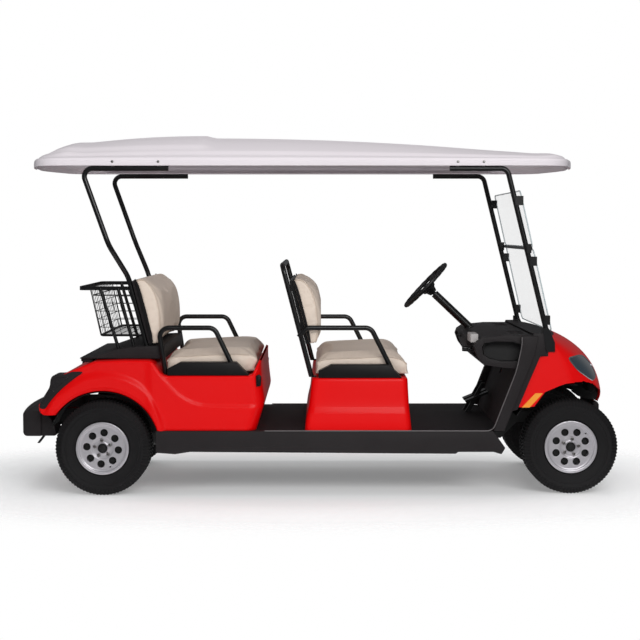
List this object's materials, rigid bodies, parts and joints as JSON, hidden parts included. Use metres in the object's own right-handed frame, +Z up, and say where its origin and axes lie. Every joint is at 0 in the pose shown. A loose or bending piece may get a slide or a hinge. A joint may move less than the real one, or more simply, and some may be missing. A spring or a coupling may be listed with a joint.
{
  "type": "four-seat golf cart",
  "caption": "Electric golf cart with forward-facing bench seats, moulded body panels, a roof on bent tube posts, a split clear windshield, a rear basket and steered front wheels.",
  "frame": {"origin": "on the ground, midway between the foremost and rearmost points and midway between the sides", "axes": "+X forward along the cart's length, +Y to the driver's left, +Z up"},
  "size_m": [3.0399, 1.196, 1.821],
  "materials": {
    "body_red": "glossy",
    "black_plastic": "satin",
    "roof_white": "glossy",
    "tyre_rubber": "matte",
    "wheel_silver": "satin",
    "frame_black": "glossy",
    "forged_steel": "satin",
    "seat_vinyl": "satin",
    "clear_pane": "clear",
    "lamp_smoke": "glossy",
    "lamp_clear": "glossy",
    "lamp_amber": "glossy",
    "net_black": "matte"
  },
  "bodies": {
    "cart": {"rear_body": "body_red", "front_seat_base": "body_red", "front_cowl": "body_red", "rear_deck": "black_plastic", "dashboard": "black_plastic", "side_risers": "black_plastic", "front_bumper": "black_plastic", "rear_bumper": "black_plastic", "seat_trims": "black_plastic", "floor_pan": "black_plastic", "sill_panels": "black_plastic", "rear_seat_back_shell": "black_plastic", "battery_block": "black_plastic", "roof_canopy": "roof_white", "chassis_frame": "frame_black", "roof_posts": "frame_black", "hip_rails": "frame_black", "front_seat_back_frame": "frame_black", "windshield_mounts": "frame_black", "steering_column": "frame_black", "leaf_springs": "frame_black", "front_axle_beam": "frame_black", "rear_axle": "frame_black", "pedals": "frame_black", "steering_rack": "forged_steel", "seat_backs": "seat_vinyl", "windshield": "clear_pane", "tail_lamps": "lamp_smoke", "headlamps": "lamp_clear", "fender_markers": "lamp_amber", "basket": "net_black"},
    "wheel_front_left": {"tyre_front_left": "tyre_rubber", "rim_front_left": "wheel_silver"},
    "wheel_front_right": {"tyre_front_right": "tyre_rubber", "rim_front_right": "wheel_silver"},
    "wheel_rear_left": {"tyre_rear_left": "tyre_rubber", "rim_rear_left": "wheel_silver"},
    "wheel_rear_right": {"tyre_rear_right": "tyre_rubber", "rim_rear_right": "wheel_silver"},
    "knuckle_left_body": {"knuckle_left": "forged_steel"},
    "knuckle_right_body": {"knuckle_right": "forged_steel"},
    "tie_rod_body": {"tie_rod": "forged_steel"},
    "steering_wheel_body": {"steering_wheel": "black_plastic"},
    "front_seat_lid": {"front_seat_cushion": "seat_vinyl"},
    "rear_seat_lid": {"rear_seat_cushion": "seat_vinyl"}
  },
  "joints": [
    {"name": "steering_wheel_turn", "type": "hinge", "parent": "cart", "child": "steering_wheel_body", "pos_m": [0.654, 0.28, 0.977], "axis": [-0.7254, 0, 0.6884], "range_deg": [-360, 360]},
    {"name": "kingpin_left_turn", "type": "hinge", "parent": "cart", "child": "knuckle_left_body", "pos_m": [1.2825, 0.33, 0.2375], "axis": [0, 0, 1], "range_deg": [-25, 25]},
    {"name": "kingpin_right_turn", "type": "hinge", "parent": "cart", "child": "knuckle_right_body", "pos_m": [1.2825, -0.33, 0.2375], "axis": [0, 0, 1], "range_deg": [-25, 25]},
    {"name": "tie_rod_slide", "type": "slide", "parent": "cart", "child": "tie_rod_body", "axis": [0, 1, 0], "range_m": [-0.0465, 0.0465]},
    {"name": "wheel_front_left_spin", "type": "hinge", "parent": "knuckle_left_body", "child": "wheel_front_left", "pos_m": [1.2825, 0.44, 0.2375], "axis": [0, 1, 0], "continuous": true},
    {"name": "wheel_front_right_spin", "type": "hinge", "parent": "knuckle_right_body", "child": "wheel_front_right", "pos_m": [1.2825, -0.44, 0.2375], "axis": [0, 1, 0], "continuous": true},
    {"name": "wheel_rear_left_spin", "type": "hinge", "parent": "cart", "child": "wheel_rear_left", "pos_m": [-1.0655, 0.49, 0.2375], "axis": [0, 1, 0], "continuous": true},
    {"name": "wheel_rear_right_spin", "type": "hinge", "parent": "cart", "child": "wheel_rear_right", "pos_m": [-1.0655, -0.49, 0.2375], "axis": [0, 1, 0], "continuous": true},
    {"name": "front_seat_tip", "type": "hinge", "parent": "cart", "child": "front_seat_lid", "pos_m": [0.466, 0, 0.598], "axis": [0, 1, 0], "range_deg": [0, 60]},
    {"name": "rear_seat_tip", "type": "hinge", "parent": "cart", "child": "rear_seat_lid", "pos_m": [-0.29, 0, 0.645], "axis": [0, 1, 0], "range_deg": [0, 60]}
  ],
  "couplings": [
    {"joint": "kingpin_left_turn", "follows": "steering_wheel_turn", "ratio": 0.069444},
    {"joint": "kingpin_right_turn", "follows": "steering_wheel_turn", "ratio": 0.069444},
    {"joint": "tie_rod_slide", "follows": "steering_wheel_turn", "m_per_rad": -0.0073988}
  ]
}
